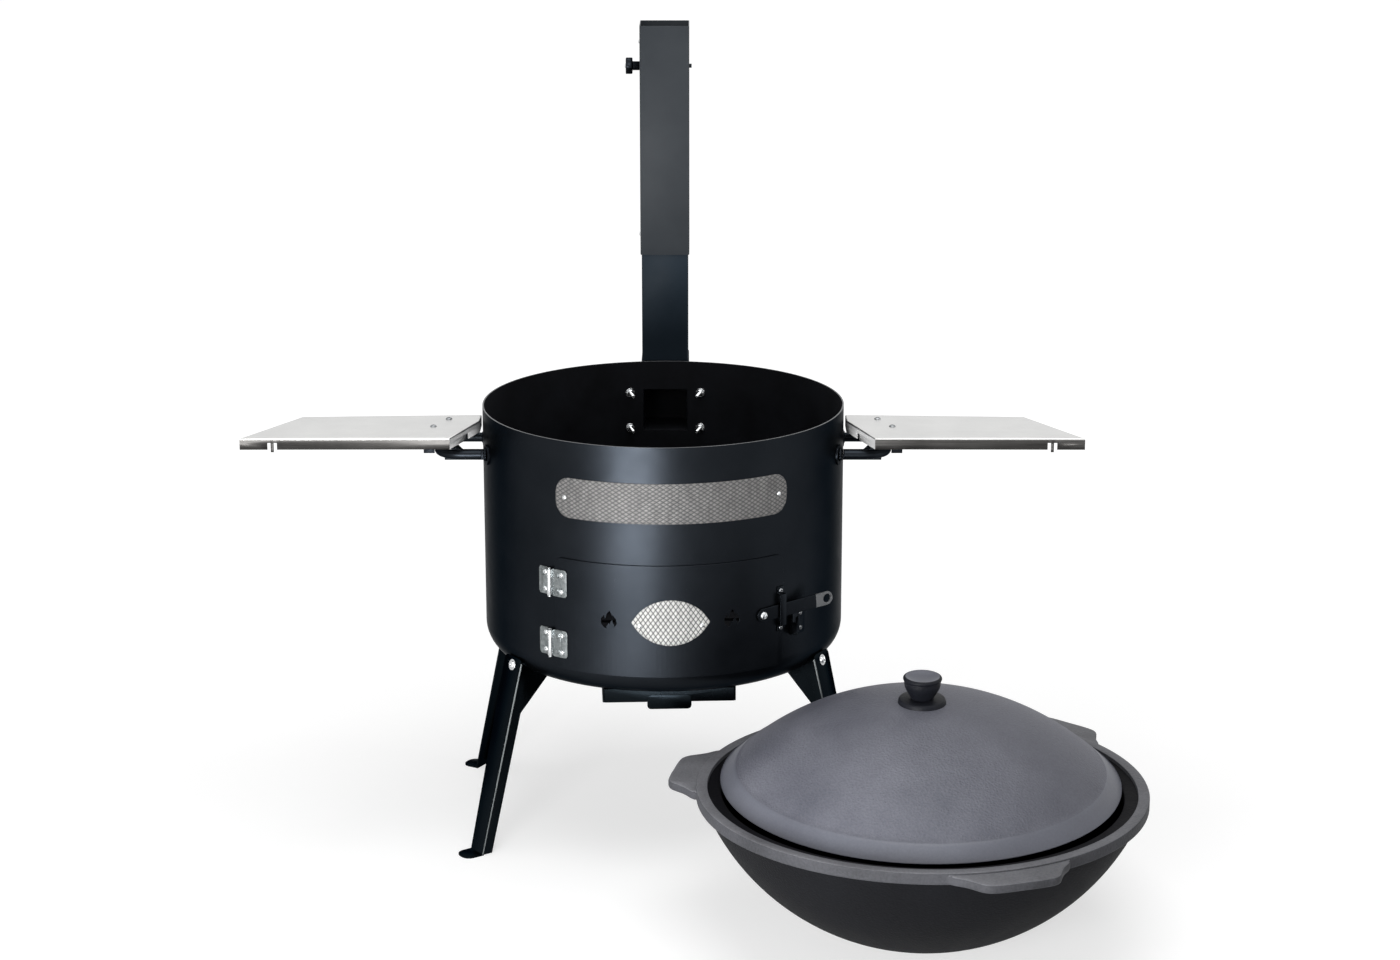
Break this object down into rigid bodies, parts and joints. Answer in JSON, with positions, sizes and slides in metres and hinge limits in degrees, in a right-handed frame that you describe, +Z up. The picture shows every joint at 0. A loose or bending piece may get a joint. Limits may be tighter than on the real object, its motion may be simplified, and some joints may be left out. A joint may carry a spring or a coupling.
{
  "type": "cauldron stove",
  "caption": "Free-standing outdoor stove: round sheet-steel fire drum on splayed legs with a hinged door, ash pan, telescopic chimney and side shelves, plus a lidded cast-iron cauldron.",
  "frame": {"origin": "centre of the bounding box's bottom face, on the floor; the drum's axis is at x = -0.0260, y = 0.2159", "axes": "+Z up, -Y towards the door side, +X to the right seen from the door side"},
  "size_m": [1.196, 1.0828, 1.083],
  "materials": {
    "satin_black_enamel": "satin black heat-resistant paint",
    "embossed_stainless": "thin stainless sheet with an embossed diamond pattern",
    "brushed_shelf_steel": "brushed stainless sheet",
    "zinc_fasteners": "bright zinc plate",
    "cast_iron": "as-cast, seasoned"
  },
  "bodies": {
    "stove": {"ash_rail_left": "satin_black_enamel", "ash_rail_right": "satin_black_enamel", "chimney_lower": "satin_black_enamel", "drum_shell": "satin_black_enamel", "flue_bolt_low_left": "zinc_fasteners", "flue_bolt_low_right": "zinc_fasteners", "flue_bolt_top_left": "zinc_fasteners", "flue_bolt_top_right": "zinc_fasteners", "flue_elbow": "satin_black_enamel", "handle_left": "satin_black_enamel", "handle_right": "satin_black_enamel", "hinge_lower_fixed_leaf": "zinc_fasteners", "hinge_lower_pin": "zinc_fasteners", "hinge_upper_fixed_leaf": "zinc_fasteners", "hinge_upper_pin": "zinc_fasteners", "latch_keeper": "satin_black_enamel", "leg_bolt_front_left": "zinc_fasteners", "leg_bolt_front_right": "zinc_fasteners", "leg_bolt_rear_left": "zinc_fasteners", "leg_bolt_rear_right": "zinc_fasteners", "leg_bracket_front_left": "satin_black_enamel", "leg_bracket_front_right": "satin_black_enamel", "leg_bracket_rear_left": "satin_black_enamel", "leg_bracket_rear_right": "satin_black_enamel", "leg_front_left": "satin_black_enamel", "leg_front_right": "satin_black_enamel", "leg_rear_left": "satin_black_enamel", "leg_rear_right": "satin_black_enamel", "nameplate": "embossed_stainless"},
    "door": {"door_badge": "embossed_stainless", "door_panel": "satin_black_enamel", "hinge_lower_door_leaf": "zinc_fasteners", "hinge_upper_door_leaf": "zinc_fasteners", "latch_guide": "satin_black_enamel", "latch_pivot_bolt": "zinc_fasteners"},
    "latch": {"latch_lever": "satin_black_enamel"},
    "ash_pan": {"ash_pan": "satin_black_enamel"},
    "grate": {"fire_grate": "cast_iron"},
    "chimney_sleeve": {"chimney_upper": "satin_black_enamel", "chimney_clamp_screw": "zinc_fasteners", "chimney_seam_screw": "zinc_fasteners"},
    "damper": {"damper_flap": "satin_black_enamel", "damper_knob": "satin_black_enamel"},
    "shelf_left": {"shelf_left_bolt_inner": "zinc_fasteners", "shelf_left_bolt_outer": "zinc_fasteners", "shelf_left_saddle": "satin_black_enamel", "shelf_left_tray": "brushed_shelf_steel"},
    "shelf_right": {"shelf_right_bolt_inner": "zinc_fasteners", "shelf_right_bolt_outer": "zinc_fasteners", "shelf_right_saddle": "satin_black_enamel", "shelf_right_tray": "brushed_shelf_steel"},
    "cauldron": {"cauldron_pot": "cast_iron"},
    "lid": {"cauldron_lid": "cast_iron", "lid_knob": "cast_iron"}
  },
  "joints": [
    {"name": "door_hinge", "type": "hinge", "parent": "stove", "child": "door", "pos_m": [-0.17624, 0.00909, 0.356], "axis": [0, 0, -1], "range_deg": [0, 110]},
    {"name": "latch_turn", "type": "hinge", "parent": "door", "child": "latch", "pos_m": [0.10861, 0.00213, 0.3544], "axis": [0.5329, -0.8462, 0], "range_deg": [-13.9, 14.1]},
    {"name": "ash_pan_slide", "type": "slide", "parent": "stove", "child": "ash_pan", "axis": [0.0489, -0.9988, 0], "range_m": [0, 0.16]},
    {"name": "grate_lift", "type": "slide", "parent": "stove", "child": "grate", "axis": [0, 0, 1], "range_m": [0, 0.2]},
    {"name": "chimney_slide", "type": "slide", "parent": "stove", "child": "chimney_sleeve", "axis": [0, 0, 1], "range_m": [-0.14, 0.02]},
    {"name": "damper_turn", "type": "hinge", "parent": "chimney_sleeve", "child": "damper", "pos_m": [-0.026, 0.50587, 1.022], "axis": [-1, 0, 0], "range_deg": [0, 90]},
    {"name": "shelf_left_lift", "type": "slide", "parent": "stove", "child": "shelf_left", "axis": [0, 0, 1], "range_m": [0, 0.1]},
    {"name": "shelf_right_lift", "type": "slide", "parent": "stove", "child": "shelf_right", "axis": [0, 0, 1], "range_m": [0, 0.1]},
    {"name": "cauldron_lift", "type": "slide", "parent": "stove", "child": "cauldron", "axis": [0.5, -0.5, 0.7071], "range_m": [0, 0.12]},
    {"name": "lid_lift", "type": "slide", "parent": "cauldron", "child": "lid", "axis": [0, 0, 1], "range_m": [0, 0.1]}
  ]
}
